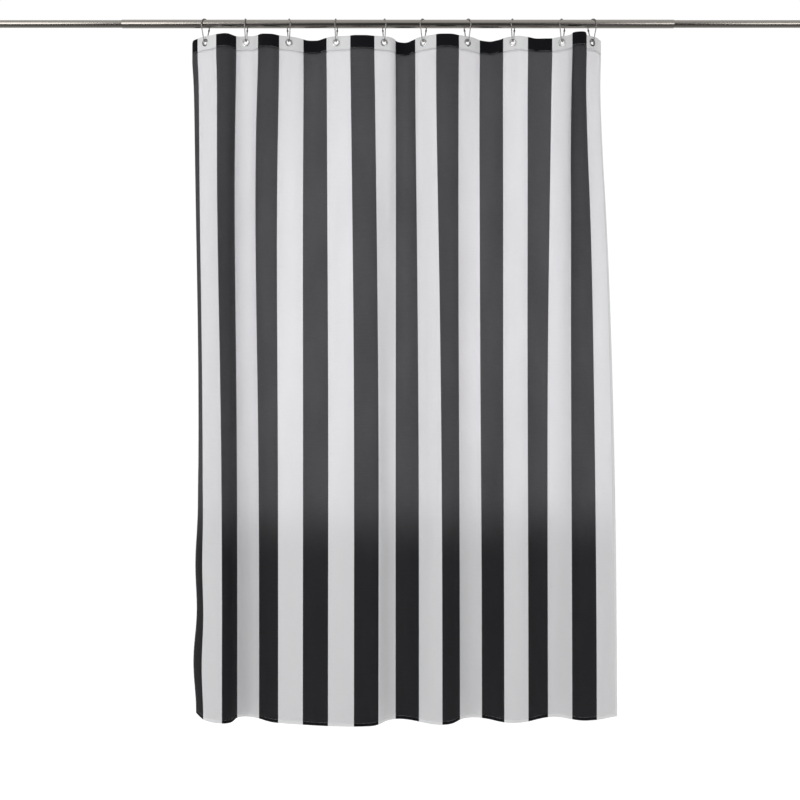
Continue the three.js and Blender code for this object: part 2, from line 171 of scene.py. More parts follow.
def new_piece(name, material, points, faces, body):
    """Puts a numpy surface into a smooth mesh object that rides on a body."""
    faces = faces if isinstance(faces, list) else faces.tolist()
    mesh = bpy.data.meshes.new(name)
    mesh.from_pydata(points.reshape(-1, 3).tolist(), [], faces)
    mesh.polygons.foreach_set("use_smooth", [True] * len(mesh.polygons))
    mesh.materials.append(material)
    piece = bpy.data.objects.new(name, mesh)
    bpy.context.scene.collection.objects.link(piece)
    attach(piece, body)
    return piece


def grid_faces(rows, columns, close_rows=False, close_columns=False):
    """Quads of a grid of points; a closed direction joins its last line to its first."""
    i = np.arange(rows if close_rows else rows - 1)
    j = np.arange(columns if close_columns else columns - 1)
    i, j = np.meshgrid(i, j, indexing="ij")
    i, j = i.ravel(), j.ravel()
    after_i, after_j = (i + 1) % rows, (j + 1) % columns
    here, below = i * columns, after_i * columns
    return np.stack([here + j, here + after_j, below + after_j, below + j], axis=1)


def rounded(outline, radius, steps=4):
    """A closed outline with each corner cut by a curve.

    Each corner P gives the points P + (A - P)(1 - t)^2 + (B - P) t^2, with A and B a radius away
    towards its neighbours, or a third of the side where that is shorter.
    """
    corners = np.asarray(outline, float)
    before = np.roll(corners, 1, axis=0) - corners
    after = np.roll(corners, -1, axis=0) - corners
    reach_before = np.minimum(radius, np.linalg.norm(before, axis=1) / 3)[:, None]
    reach_after = np.minimum(radius, np.linalg.norm(after, axis=1) / 3)[:, None]
    a = before / np.linalg.norm(before, axis=1, keepdims=True) * reach_before
    b = after / np.linalg.norm(after, axis=1, keepdims=True) * reach_after
    t = np.linspace(0, 1, steps)[None, :, None]
    curve = corners[:, None] + a[:, None] * (1 - t) ** 2 + b[:, None] * t**2
    return curve.reshape(-1, 2)


def turned(outline, facets=TUBE_FACETS):
    """A closed outline of (along, radius) points turned about the X axis: a ring-shaped surface."""
    along, radius = np.asarray(outline).T
    angle = np.linspace(0, 2 * np.pi, facets, endpoint=False)[:, None]
    points = np.stack(
        [
            np.broadcast_to(along, (facets, len(along))),
            radius * np.cos(angle),
            radius * np.sin(angle),
        ],
        axis=-1,
    )
    return points, grid_faces(facets, len(along), close_rows=True, close_columns=True)


def outward(piece):
    """Merges points that coincide, and turns a closed mesh's faces outwards."""
    mesh = bmesh.new()
    mesh.from_mesh(piece.data)
    bmesh.ops.remove_doubles(mesh, verts=mesh.verts, dist=1e-7)
    bmesh.ops.recalc_face_normals(mesh, faces=mesh.faces)
    mesh.to_mesh(piece.data)
    mesh.free()


rod_steel = brushed_steel("rod_steel", (0.27, 0.25, 0.225), (0.39, 0.365, 0.335), 0.25)
cup_steel = brushed_steel("cup_steel", (0.34, 0.33, 0.32), (0.48, 0.47, 0.46), 0.3)


def tube_piece(node, body, wall):
    """A tube that stands for a CAD tube: same ends and diameter, with turned edges."""
    low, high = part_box(node)
    outer = (high.z - low.z) / 2
    outline = [(low.x, outer - wall), (low.x, outer), (high.x, outer), (high.x, outer - wall)]
    points, faces = turned(rounded(outline, TUBE_EDGE))
    piece = new_piece(node + "_fine", rod_steel, points, faces, body)
    outward(piece)
    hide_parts(node)


TUBE_WALL = 0.0008
tube_piece("centre_tube", "rod_centre", TUBE_WALL)
tube_piece("left_tube", "rod_left", TUBE_WALL)
tube_piece("right_tube", "rod_right", TUBE_WALL)

CUP_BORE_GAP = 0.0003
CUP_WALL = 0.003
CUP_FLANGE = 0.004
CUP_ROUNDING = 0.0012
AXIS_GAP = 0.0002  # a turned outline stays this far from its axis, which leaves a pinhole


def wall_piece(side, part, outline, rounding, material, body):
    """A turned piece that stands for a CAD piece at one wall. Its outline starts on the wall."""
    low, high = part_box(f"{side}_{part}")
    outline = rounded(outline, rounding)
    start, step = (low.x, 1) if side == "left" else (high.x, -1)
    outline[:, 0] = start + step * outline[:, 0]
    points, faces = turned(outline)
    piece = new_piece(f"{side}_{part}_fine", material, points, faces, body)
    outward(piece)
    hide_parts(f"{side}_{part}")


def end_cup(side, body):
    """A cup with a broad flange on the wall side and a hub that holds the end tube."""
    low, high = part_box(f"{side}_end_cup")
    tube_low, tube_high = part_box(f"{side}_tube")
    bore = (tube_high.z - tube_low.z) / 2 + CUP_BORE_GAP
    rim = (high.z - low.z) / 2
    hub = bore + CUP_WALL
    depth = high.x - low.x
    outline = [
        (0, AXIS_GAP),
        (0, rim),
        (CUP_FLANGE, rim - 0.001),
        (CUP_FLANGE + 0.002, hub + 0.001),
        (depth, hub - 0.0005),
        (depth, bore),
        (CUP_FLANGE, bore),
        (CUP_FLANGE, AXIS_GAP),
    ]
    wall_piece(side, "end_cup", outline, CUP_ROUNDING, cup_steel, body)


end_cup("left", "rod_left")
end_cup("right", "rod_right")


def foot_rubber():
    """Matt black rubber, slightly dusty, with a fine moulded grain."""
    material, place = new_material("foot_rubber")
    grain = place.noise(1800.0, 2.0)
    dust = place.noise(60.0, 3.0)
    surface = place.node(
        "ShaderNodeBsdfPrincipled",
        None,
        {
            "Base Color": dust.tint((0.018, 0.018, 0.019), (0.05, 0.05, 0.052)),
            "Roughness": dust * 0.2 + 0.65,
            "Normal": grain.bump(0.3, 0.0002),
        },
    )
    show(surface)
    return material


rubber = foot_rubber()


GRIP_RINGS = 3
GRIP_DEPTH = 0.0006
PAD_ROUNDING = 0.0005


def foot_pad(side, body):
    """A rubber disc with three rounded grip rings on its face."""
    low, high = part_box(f"{side}_foot_pad")
    rim = (high.z - low.z) / 2
    thick = high.x - low.x
    outline = [(0.0, AXIS_GAP)]
    for radius in np.linspace(rim * 0.3, rim * 0.85, GRIP_RINGS):
        outline += [(0.0, radius - 0.002), (GRIP_DEPTH, radius - 0.001)]
        outline += [(GRIP_DEPTH, radius + 0.001), (0.0, radius + 0.002)]
    outline += [(0.0, rim), (thick, rim - 0.001), (thick, AXIS_GAP)]
    wall_piece(side, "foot_pad", outline, PAD_ROUNDING, rubber, body)


foot_pad("left", "rod_left")
foot_pad("right", "rod_right")


def lock_plastic():
    """Grey moulded plastic with a faint flow pattern."""
    material, place = new_material("lock_plastic")
    flow = place.stretched((60, 300, 300)).noise(1.0, 2.0)
    surface = place.node(
        "ShaderNodeBsdfPrincipled",
        None,
        {
            "Base Color": flow.tint((0.22, 0.22, 0.23), (0.32, 0.32, 0.33)),
            "Roughness": flow * 0.2 + 0.4,
            "Normal": flow.bump(0.1, 0.0003),
        },
    )
    show(surface)
    return material


lock_material = lock_plastic()
for node in ("left_twist_lock", "right_twist_lock"):
    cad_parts[node].data.materials.clear()
    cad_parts[node].data.materials.append(lock_material)

# ---------------------------------------------------------------------------------------------
# How the cloth hangs: it is 1.5 m wide and doesn't stretch, so between the ten eyelets it bows
# to the front or the back, and further down those bows run together into broader folds.
# ---------------------------------------------------------------------------------------------

CLOTH_WIDTH = 1.5
CLOTH_HEIGHT = 2.0
EYELET_COUNT = 10
LEFT_MARGIN = 0.105
RIGHT_MARGIN = 0.045
FLAT_HALF = 0.013  # the cloth lies flat this far to each side of an eyelet
CURTAIN_SHIFT = -0.013  # the cloth's middle, from the middle of the rod
EYELET_DROP = 0.0185  # from the cloth's top edge to the middle of an eyelet
eyelet_low, eyelet_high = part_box("eyelet_front_01")
EYELET_Z = (eyelet_low.z + eyelet_high.z) / 2
CLOTH_TOP = EYELET_Z + EYELET_DROP
EYELET_PITCH = (CLOTH_WIDTH - LEFT_MARGIN - RIGHT_MARGIN) / (EYELET_COUNT - 1)
eyelet_places = LEFT_MARGIN + EYELET_PITCH * np.arange(EYELET_COUNT)

# Turns of the cloth at the eyelets, in degrees, and depths of the bows between them and of the
# hem's folds, in eyelet pitches.
EYELET_TURNS = [29, 5, -19, 8, -15, 30, -28, 21, 31, -32]
BAY_DEPTHS = [-0.25, -0.24, 0.18, -0.16, 0.29, -0.24, 0.22, 0.04, -0.36]
LEFT_END = (0.45, -0.99)  # depth and slope of the heading's free ends
RIGHT_END = (0.21, 0.8)
LEFT_CURL = np.radians(54)  # the left end's further turn to the back, beyond its eyelet
# Each fold of the hem: its place in pairs of stripes, and its depth.
HEM_FOLDS = np.array(
    [
        (0, 0.54),
        (1.01, -0.15),
        (1.66, 0.32),
        (2.48, -0.08),
        (4.27, -0.3),
        (5.04, 0.17),
        (6.01, -0.2),
        (6.8, 0.27),
        (7.69, -0.09),
        (8.61, 0.3),
        (9.25, 0.06),
        (10, 0.34),
    ]
)
LEFT_HEM_TURN = 1.3  # how much steeper the hem's free ends are than a straight run
RIGHT_HEM_TURN = 1.2
FOLD_GAIN = 0.02  # the hem's folds are steeper by this share at the top, and not at the hem
MIXED_GAIN = 0.13  # steeper by this share where the heading's shape and the hem's mix equally
FOLD_EASE = 2.34  # the higher, the sooner the hem's folds take over below the heading
HEM_SETBACK = 0.007  # keeps the cloth's weight under the rod
STRAIGHT_TOP = 0.06  # the heading's shape holds down to here
STEEPEST = 0.985  # the largest sine that the mix may reach
HEADING_SAG = 0.004  # the cloth's sag between two eyelets, which fades over the next height
SAG_REACH = 0.16


def slope_through(knots, places):
    """Slope of the smooth line through (place, depth, slope) knots: the cubic's derivative."""
    knots = np.asarray(knots, float)
    i = np.clip(np.searchsorted(knots[:, 0], places, side="right") - 1, 0, len(knots) - 2)
    start, end = knots[i], knots[i + 1]
    length = end[:, 0] - start[:, 0]
    t = (places - start[:, 0]) / length
    rise = 6 * t * (1 - t) / length * (end[:, 1] - start[:, 1])
    return rise + (1 - t) * (1 - 3 * t) * start[:, 2] + t * (3 * t - 2) * end[:, 2]


def heading_knots():
    """Flat at each eyelet and bowed to its depth between two; the free ends turn away."""
    slopes = -np.sin(np.radians(EYELET_TURNS))
    middles = eyelet_places[:-1] + EYELET_PITCH / 2
    flats = np.stack([eyelet_places, slopes * FLAT_HALF, slopes], axis=1)
    knots = [
        [[0, LEFT_END[0] * EYELET_PITCH, LEFT_END[1]]],
        flats * [1, -1, 1] - [FLAT_HALF, 0, 0],
        flats + [FLAT_HALF, 0, 0],
        np.stack([middles, np.array(BAY_DEPTHS) * EYELET_PITCH, 0 * middles], axis=1),
        [[CLOTH_WIDTH, RIGHT_END[0] * EYELET_PITCH, RIGHT_END[1]]],
    ]
    knots = np.concatenate(knots)
    return knots[np.argsort(knots[:, 0])]


def hem_knots():
    """Each fold's slope follows its neighbours; the free edges are turned further."""
    places, depths = (HEM_FOLDS * [CLOTH_WIDTH / EYELET_COUNT, EYELET_PITCH]).T
    slopes = np.empty(len(places))
    slopes[1:-1] = (depths[2:] - depths[:-2]) / (places[2:] - places[:-2])
    slopes[0] = LEFT_HEM_TURN * (depths[1] - depths[0]) / (places[1] - places[0])
    slopes[-1] = RIGHT_HEM_TURN * (depths[-1] - depths[-2]) / (places[-1] - places[-2])
    return np.stack([places, depths, slopes], axis=1)


class Hang:
    """The hanging cloth as a surface: a point for each place along it and height below its top.

    The cloth's turn from the rod at a place is the arc sine of a mix of the heading's slope and
    the hem's, and its plan is the running sum of that turn's cosine and sine along the cloth.
    """

    STEPS = 3000

    def __init__(self):
        self.edges = np.linspace(0, CLOTH_WIDTH, self.STEPS + 1)
        middles = (self.edges[1:] + self.edges[:-1]) / 2
        self.top_slope = slope_through(heading_knots(), middles)
        self.hem_slope = slope_through(hem_knots(), middles)
        curl = np.clip(1 - middles / (LEFT_MARGIN - FLAT_HALF), 0, None)
        self.curl = LEFT_CURL * curl**2 * (3 - 2 * curl)

    def plan(self, below):
        """X, Y and turn along the whole cloth at each of these heights, as (heights, steps)."""
        t = np.clip(below - STRAIGHT_TOP, 0, None) / (CLOTH_HEIGHT - STRAIGHT_TOP)
        t = np.clip(t, 0, 1)[:, None]
        hem = 1 - (1 - t) ** FOLD_EASE
        gain = 1 + FOLD_GAIN * (1 - t)
        sine = (1 - hem) * self.top_slope + hem * gain * self.hem_slope
        sine = sine * (1 + MIXED_GAIN * 4 * hem * (1 - hem))
        turn = np.arcsin(np.clip(sine, -STEEPEST, STEEPEST)) - (1 - hem) * self.curl
        step = CLOTH_WIDTH / self.STEPS
        start = np.zeros((len(below), 1))
        x = np.concatenate([start, np.cumsum(np.cos(turn) * step, axis=1)], axis=1)
        y = np.concatenate([start, np.cumsum(np.sin(turn) * step, axis=1)], axis=1)
        x += rod_span / 2 + CURTAIN_SHIFT - x[:, self.STEPS // 2, None]
        first = int(round(LEFT_MARGIN / step))
        (place_a, depth_a), (place_b, depth_b) = HEM_FOLDS[:2]
        share = (LEFT_MARGIN / (CLOTH_WIDTH / EYELET_COUNT) - place_a) / (place_b - place_a)
        fold = gain * EYELET_PITCH * (depth_a + (depth_b - depth_a) * share * (2 - share))
        y += hem * (fold + HEM_SETBACK) - y[:, first, None]
        turn = np.concatenate([turn[:, :1], (turn[:, 1:] + turn[:, :-1]) / 2, turn[:, -1:]], axis=1)
        return x, y, turn

    def points(self, places, below, behind):
        """Points at these places, heights and distances behind the cloth, as (heights, places)."""
        heights, which = np.unique(below[:, 0].round(6), return_inverse=True)
        x, y, turn = self.plan(np.clip(heights, 0, CLOTH_HEIGHT))
        at = places / CLOTH_WIDTH * self.STEPS
        low = np.clip(np.floor(at).astype(int), 0, self.STEPS - 1)
        part = at - low
        row = np.broadcast_to(which[:, None], places.shape)
        picked = [a[row, low] * (1 - part) + a[row, low + 1] * part for a in (x, y, turn)]
        phase = np.pi * (places - LEFT_MARGIN) / EYELET_PITCH
        sag = HEADING_SAG * np.sin(phase) ** 2 * np.exp(-np.clip(below, 0, None) / SAG_REACH)
        px = picked[0] - np.sin(picked[2]) * behind
        py = picked[1] + np.cos(picked[2]) * behind
        return np.stack([px, py, CLOTH_TOP - below - sag], axis=-1)

    def at_eyelets(self):
        """X of each eyelet and the cloth's turn there."""
        x, _, turn = self.plan(np.zeros(1))
        index = np.round(eyelet_places / CLOTH_WIDTH * self.STEPS).astype(int)
        return x[0, index], turn[0, index]


hang = Hang()
ring_x, ring_turn = hang.at_eyelets()
numbers = [f"{k + 1:02d}" for k in range(EYELET_COUNT)]

# ---------------------------------------------------------------------------------------------
# The cloth: thin woven polyester, printed in black and white stripes each 75 mm wide. The bottom
# and the two sides are turned to the back and sewn; the single layer lets light through.
# ---------------------------------------------------------------------------------------------

CLOTH_THICKNESS = 0.0004
HEADING_HEIGHT = 0.039
STRIPE = 0.075
HEM_WIDTH = 0.011
FOLD_GAP = 0.0008  # between the middles of two sewn layers
THREADS = 2600  # fineness of the woven lines across a thread and along it
THREAD_RUN = 45
# Painted shade: from these depths down, the cloth lets less light through because the light behind
# it ends there, not because the cloth changes.
PAINTED_SHADE_DEPTHS = (1.33, 1.54)  # from full to least light through the cloth, in metres below its top

WHITE_YARN = [(0.60, 0.602, 0.61), (0.70, 0.70, 0.705)]
BLACK_YARN = [(0.0042, 0.0042, 0.0053), (0.0082, 0.008, 0.01)]


def striped_cloth(name, through_white=0, through_black=0, painted_shade_white=0, painted_shade_black=0):
    """The printed cloth. The UV map holds metres along the cloth and down it.

    Threads are noise stretched along each direction; the print's edge wanders by a thread.
    A share of the light comes through a single layer, more in the white than in the black.
    Less comes through low down: painted shade where the light behind the cloth ends.
    """
    material, place = new_material(name)
    uv = place.node("ShaderNodeUVMap", {"uv_map": "cloth"})
    warp = uv.stretched((THREADS, THREAD_RUN, 1)).noise(1.0, 2.0)
    weft = uv.stretched((THREAD_RUN, THREADS, 1)).noise(1.0, 2.0)
    slub = uv.stretched((12, 700, 1)).noise(1.0, 1.0)
    soft = uv.stretched((14, 5, 1)).noise(1.0, 2.0)
    parts = uv.node("ShaderNodeSeparateXYZ", None, {0: uv})
    along, down = parts.out("X"), parts.out("Y")
    edge = along + (weft - 0.5) * 0.0008
    cycle = (edge / (2 * STRIPE)).math("FRACT", edge / (2 * STRIPE))
    white = cycle.math("GREATER_THAN", cycle, 0.5)
    tone = warp * 0.3 + weft * 0.35 + slub * 0.15 + soft * 0.2
    pale, dark = tone.tint(*WHITE_YARN), tone.tint(*BLACK_YARN)
    pattern = white.node("ShaderNodeMix", {"data_type": "RGBA"}, {0: white, 6: dark, 7: pale})
    cloth = uv.node(
        "ShaderNodeBsdfPrincipled",
        None,
        {
            "Base Color": Wire(uv.tree, pattern.socket.node.outputs[2]),
            "Roughness": tone * 0.2 + 0.68,
            "Sheen Weight": 0.02,
            "Sheen Roughness": 0.5,
            "Specular IOR Level": 0.06,
            "Normal": (warp * 0.5 + weft * 0.6 + slub * 0.4).bump(0.35, 0.0002),
        },
    )
    if not through_white:
        show(cloth)
        return material
    single = down.math("LESS_THAN", down, CLOTH_HEIGHT - HEM_WIDTH)
    single = single * along.math("GREATER_THAN", along, HEM_WIDTH)
    single = single * along.math("LESS_THAN", along, CLOTH_WIDTH - HEM_WIDTH)
    # Painted shade: less light comes through low down, where the light behind the cloth ends.
    ends = {"From Min": PAINTED_SHADE_DEPTHS[0], "From Max": PAINTED_SHADE_DEPTHS[1], "To Min": 1.0, "To Max": 0.0}
    clear = down.node(
        "ShaderNodeMapRange", {"interpolation_type": "SMOOTHSTEP"}, {"Value": down, **ends}
    )
    least = white * (painted_shade_white - painted_shade_black) + painted_shade_black
    most = white * (through_white - through_black) + through_black
    through = single * (least + (most - least) * clear) * (tone + 0.5)
    glow = uv.node("ShaderNodeBsdfTranslucent", None, {"Color": (0.94, 0.93, 0.95, 1)})
    show(uv.node("ShaderNodeMixShader", None, {0: through, 1: cloth, 2: glow}))
    return material


PUCKER_DEPTH = 0.0011
PUCKER_WIDTH = 0.037
CREASE_DEPTHS = (0.0007, 0.0005)
EDGE_WAVE = 0.0045
EDGE_WAVE_LENGTH = 0.31


def ripple(places, below):
    """Small waves of the cloth, in metres to the back, added to the large folds.

    Puckers under the heading between the eyelets, long soft creases down the cloth, and a slow
    wave down the free left edge near the hem. None is left at an eyelet, where metal holds it.
    """
    to_eyelet = np.abs(places[..., None] - eyelet_places).min(axis=-1)
    free = np.clip((to_eyelet - FLAT_HALF) / 0.025, 0, 1)
    free = free * free * (3 - 2 * free)
    slack = np.clip(below / 0.2, 0, 1)
    ease = free + (1 - free) * slack * slack * (3 - 2 * slack)
    puckers = PUCKER_DEPTH * np.sin(2 * np.pi * places / PUCKER_WIDTH + 1.3 * np.sin(places * 23))
    puckers *= np.exp(-((below - 0.05) / 0.13) ** 2)
    creases = CREASE_DEPTHS[0] * np.sin(places * 61 + 1.7 * np.sin(below * 2.1) + 0.6)
    creases += CREASE_DEPTHS[1] * np.sin(places * 97 - 1.2 * np.sin(below * 1.6 + 1.0) + 2.0)
    creases *= np.sin(np.pi * np.clip(below / CLOTH_HEIGHT, 0, 1) ** 0.6) ** 2 * 0.5 + 0.5
    low = np.clip((below - 1.25) / 0.5, 0, 1)
    edge = EDGE_WAVE * np.sin(2 * np.pi * (below - 1.3) / EDGE_WAVE_LENGTH)
    edge = edge * low * np.exp(-((places / 0.1) ** 2))
    return ease * (puckers + creases) + edge


def turned_back(line, width):
    """A folded end: a flap behind the line, a half circle round the fold, then the line itself.

    Gives distances along the cloth from its folded end, and distances behind it.
    """
    radius = FOLD_GAP / 2
    flap = np.linspace(width, radius, 4)
    angle = np.linspace(0, np.pi, 5)[1:-1]
    at = np.concatenate([flap, radius - radius * np.sin(angle), line])
    behind = np.concatenate([flap * 0 + FOLD_GAP, radius + radius * np.cos(angle), line * 0])
    return at, behind


def lay_flat(piece, places, below):
    """Gives a cloth piece its UV map: metres along the cloth and down it, as if laid flat."""
    uv = piece.data.uv_layers.new(name="cloth")
    corners = np.empty(len(piece.data.loops), np.int32)
    piece.data.loops.foreach_get("vertex_index", corners)
    flat = np.stack([places.ravel(), below.ravel()], axis=1)[corners]
    uv.data.foreach_set("uv", flat.astype(np.float32).ravel())


def cloth_surface(name, at, across, down, behind, kept, material):
    """A grid of cloth: a column for each place along it, a row for each height below its top."""
    places = np.broadcast_to(at, (len(down), len(at)))
    below = np.broadcast_to(down[:, None], places.shape)
    back = across[None, :] + behind[:, None]
    points = hang.points(places, below, back + ripple(places, below))
    faces = grid_faces(len(down), len(at))[kept.ravel()]
    piece = new_piece(name, material, points, faces, "curtain")
    lay_flat(piece, places, below)
    return piece


def thickened(piece, thickness):
    """Gives a surface its thickness, half to each side, and drops points that no face uses."""
    bpy.context.view_layer.update()
    solid = piece.modifiers.new("thickness", "SOLIDIFY")
    solid.thickness = thickness
    solid.offset = 0
    solid.use_even_offset = False
    bpy.context.view_layer.update()
    made = bpy.data.meshes.new_from_object(
        piece.evaluated_get(bpy.context.evaluated_depsgraph_get())
    )
    piece.modifiers.clear()
    piece.data = made
    loose = bmesh.new()
    loose.from_mesh(made)
    alone = [vertex for vertex in loose.verts if not vertex.link_faces]
    bmesh.ops.delete(loose, geom=alone, context="VERTS")
    loose.to_mesh(made)
    loose.free()


def gathers(piece):
    """Gives the piece a mesh of its own."""
    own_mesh(piece)


COLUMNS = 236
UPPER_ROWS = 32  # closer rows, down to where the puckers fade
UPPER_FOOT = 0.32
LOWER_ROWS = 120

# The last two numbers are the light through the white and the black low down, where the painted
# shade is.
body_cloth = striped_cloth("striped_cloth", 0.46, 0.232, 0.22, 0.12)
inner = np.linspace(FOLD_GAP / 2, CLOTH_WIDTH - FOLD_GAP / 2, COLUMNS)
left_at, left_behind = turned_back(inner, HEM_WIDTH)
right_at, right_behind = turned_back(np.zeros(0), HEM_WIDTH)
column_at = np.concatenate([left_at, CLOTH_WIDTH - right_at[::-1]])
column_behind = np.concatenate([left_behind, right_behind[::-1]])

upper_rows = np.linspace(HEADING_HEIGHT, UPPER_FOOT, UPPER_ROWS)
lower_rows = np.linspace(UPPER_FOOT, CLOTH_HEIGHT - FOLD_GAP / 2, LOWER_ROWS)[1:]
foot_at, foot_behind = turned_back(CLOTH_HEIGHT - np.r_[upper_rows, lower_rows][::-1], HEM_WIDTH)
row_below = (CLOTH_HEIGHT - foot_at)[::-1]
row_behind = foot_behind[::-1]
foot_flap = (row_behind > 0)[1:]
kept_faces = ~(foot_flap[:, None] & (column_behind > 0)[None, 1:])
kept_faces &= ~(foot_flap[:, None] & (column_behind > 0)[None, :-1])

panel = cloth_surface(
    "curtain_cloth", column_at, column_behind, row_below, row_behind, kept_faces, body_cloth
)
thickened(panel, CLOTH_THICKNESS)
gathers(panel)

# ---------------------------------------------------------------------------------------------
# The heading: the top of the cloth folded to the back over a stiff tape and sewn down along its
# foot. Ten round holes go through both layers and the tape, one under each eyelet.
# ---------------------------------------------------------------------------------------------

BACK_LAYER = 0.0013  # from the front layer's middle to the back layer's
TAPE_BEHIND = 0.00065
TAPE_THICKNESS = 0.0003
TAPE_TOP = 0.0012
TAPE_FOOT = 0.0378
HOLE_RADIUS = 0.0072
BAND_ROWS = 25
FINE_COLUMNS = 17  # closer columns at each eyelet
FINE_REACH = 0.012  # and how far they go to each side of it
COARSE_FROM = 0.0125  # from here on the heading has the panel's own columns
TAPE_INSET = 0.002


def with_holes(at, down):
    """Grid lines moved so that a round hole is left at each eyelet, and the faces to keep.

    A point nearer to an eyelet's middle than the hole's radius is pushed out onto the hole's
    edge; a face whose four corners were all pushed is left out.
    """
    places, below = np.meshgrid(at, down)
    nearest = eyelet_places[np.abs(places[..., None] - eyelet_places).argmin(axis=-1)]
    dx, dz = places - nearest, below - EYELET_DROP
    reach = np.hypot(dx, dz)
    inside = reach < HOLE_RADIUS
    scale = np.where(inside, HOLE_RADIUS / np.maximum(reach, 1e-6), 1)
    hole = inside[1:, 1:] & inside[1:, :-1] & inside[:-1, 1:] & inside[:-1, :-1]
    return nearest + dx * scale, EYELET_DROP + dz * scale, ~hole


def band(name, at, down, behind, material):
    """A strip of cloth along the heading with the eyelets' holes in it."""
    places, below, kept = with_holes(at, down)
    back = np.broadcast_to(behind[:, None], places.shape) + ripple(places, below * 0)
    level = np.broadcast_to(down[:, None], places.shape)
    points = hang.points(places, level * 0, back)
    points[..., 2] = hang.points(places, below, back)[..., 2]
    faces = grid_faces(*places.shape)[kept.ravel()]
    piece = new_piece(name, material, points, faces, "curtain")
    lay_flat(piece, places, below)
    return piece


heading_cloth = striped_cloth("heading_cloth")
fine_at = [inner[(np.abs(inner[:, None] - eyelet_places).min(axis=1) > COARSE_FROM)]]
fine_at += [place + np.linspace(-FINE_REACH, FINE_REACH, FINE_COLUMNS) for place in eyelet_places]
fine_at = np.unique(np.concatenate([*fine_at, [0.0, CLOTH_WIDTH]]).round(7))
fold = np.linspace(0, np.pi, 7)[1:-1]
fold_radius = BACK_LAYER / 2
layer_rows = np.linspace(fold_radius, HEADING_HEIGHT, BAND_ROWS)
heading_below = np.concatenate([layer_rows[::-1], fold_radius * (1 - np.sin(fold)), layer_rows])
heading_behind = np.concatenate(
    [
        np.full(len(layer_rows), BACK_LAYER),
        fold_radius * (1 + np.cos(fold)),
        np.zeros(len(layer_rows)),
    ]
)
heading = band(
    "curtain_heading", fine_at, heading_below, heading_behind, heading_cloth
)
thickened(heading, CLOTH_THICKNESS)
gathers(heading)


def tape_material():
    """Stiff white tape: a coarse weave, slightly yellow."""
    material, place = new_material("heading_tape")
    uv = place.node("ShaderNodeUVMap", {"uv_map": "cloth"})
    weave = uv.stretched((900, 900, 1)).noise(1.0, 2.0)
    surface = uv.node(
        "ShaderNodeBsdfPrincipled",
        None,
        {
            "Base Color": weave.tint((0.55, 0.54, 0.5), (0.72, 0.71, 0.67)),
            "Roughness": weave * 0.2 + 0.7,
            "Normal": weave.bump(0.4, 0.0003),
        },
    )
    show(surface)
    return material


tape_at = fine_at[(fine_at > TAPE_INSET) & (fine_at < CLOTH_WIDTH - TAPE_INSET)]
tape_rows = np.linspace(TAPE_TOP, TAPE_FOOT, BAND_ROWS)
tape = band(
    "heading_stiffener",
    tape_at,
    tape_rows,
    np.full(len(tape_rows), TAPE_BEHIND),
    tape_material(),
)
thickened(tape, TAPE_THICKNESS)
gathers(tape)
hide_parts("heading_tape")

# ---------------------------------------------------------------------------------------------
# Seams: a lockstitch of grey thread along the heading's foot, the bottom hem and both sides.
# Each stitch is a short raised length of thread on the front and another on the back.
# ---------------------------------------------------------------------------------------------

STITCH_PITCH = 0.0042
STITCH_LENGTH = 0.0033
THREAD_RADIUS = 0.00024
STITCH_STATIONS = 5
STITCH_SIDES = 5


def stitches(start, end, fixed, level, upright):
    """Stitches from start to end, as points of closed threads: (stitches, stations, sides, 3).

    A stitch's middle line is straight, its radius is the thread's times the root of sin(pi t),
    and level is its distance behind the cloth's middle.
    """
    count = int((end - start) / STITCH_PITCH)
    first = start + STITCH_PITCH * np.arange(count)
    t = np.linspace(0.02, 0.98, STITCH_STATIONS)
    round_it = np.linspace(0, 2 * np.pi, STITCH_SIDES, endpoint=False)
    along = first[:, None, None] + STITCH_LENGTH * t[None, :, None]
    radius = THREAD_RADIUS * np.sqrt(np.sin(np.pi * t))[None, :, None]
    across = fixed + radius * np.cos(round_it)
    behind = level + radius * np.sin(round_it)
    along, across, behind = np.broadcast_arrays(along, across, behind + 0 * along)
    places, below = (across, along) if upright else (along, across)
    shape = places.shape
    places, below, behind = (a.reshape(-1, 1) for a in (places, below, behind))
    height = below.round(4) if upright else np.full(below.shape, fixed)
    points = hang.points(places, height, behind + ripple(places, height))
    points[..., 2] -= below - height
    return points.reshape(*shape, 3)


def thread_faces(count):
    """Quads of each stitch's sides; its two ends are closed by a pentagon each."""
    ring = grid_faces(STITCH_STATIONS, STITCH_SIDES, close_columns=True)
    size = STITCH_STATIONS * STITCH_SIDES
    sides = (ring[None] + size * np.arange(count)[:, None, None]).reshape(-1, 4)
    caps = np.stack([np.arange(STITCH_SIDES)[::-1], size - STITCH_SIDES + np.arange(STITCH_SIDES)])
    caps = (caps[None] + size * np.arange(count)[:, None, None]).reshape(-1, STITCH_SIDES)
    return sides.tolist() + caps.tolist()


def thread_material():
    """Spun grey thread: fine twisted lines and a soft shine."""
    material, place = new_material("seam_thread")
    twist = place.stretched((2500, 2500, 2500)).noise(1.0, 1.0)
    surface = place.node(
        "ShaderNodeBsdfPrincipled",
        None,
        {
            "Base Color": twist.tint((0.4, 0.4, 0.41), (0.58, 0.58, 0.59)),
            "Roughness": twist * 0.2 + 0.5,
            "Normal": twist.bump(0.3, 0.0001),
        },
    )
    show(surface)
    return material


